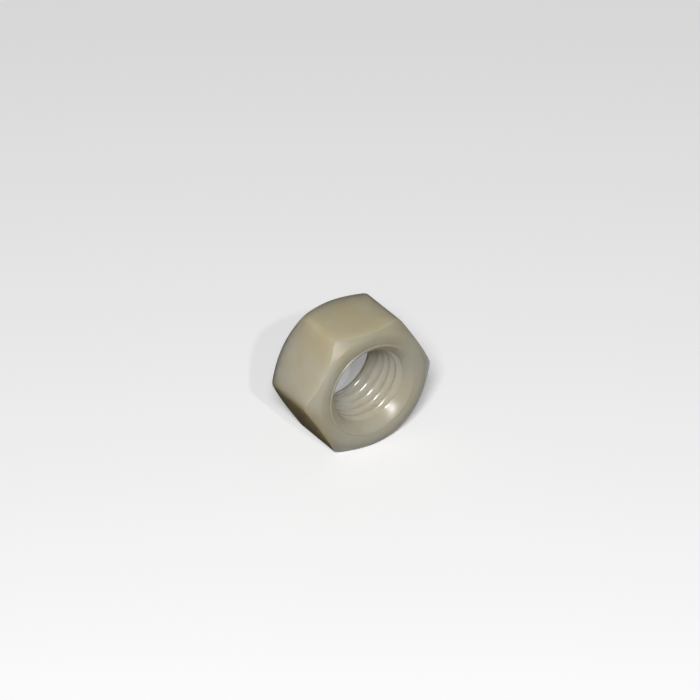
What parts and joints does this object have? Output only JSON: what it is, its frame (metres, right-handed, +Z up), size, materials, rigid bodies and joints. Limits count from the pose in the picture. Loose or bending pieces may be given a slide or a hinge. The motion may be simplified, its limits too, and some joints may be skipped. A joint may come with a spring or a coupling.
{
  "type": "nylon hexagon nut",
  "caption": "Hexagon nut in natural nylon, chamfered at both ends, with a countersunk threaded bore that clamps a bolt or stud.",
  "frame": {"origin": "on the axis of the bore, halfway between the two ring faces", "axes": "+Y along the bore, +Z up through the middle of a wrench flat, +X through a long corner"},
  "size_m": [0.0274, 0.0142, 0.024],
  "materials": {
    "nylon": "satin"
  },
  "bodies": {
    "root": {"nut": "nylon"}
  },
  "joints": []
}
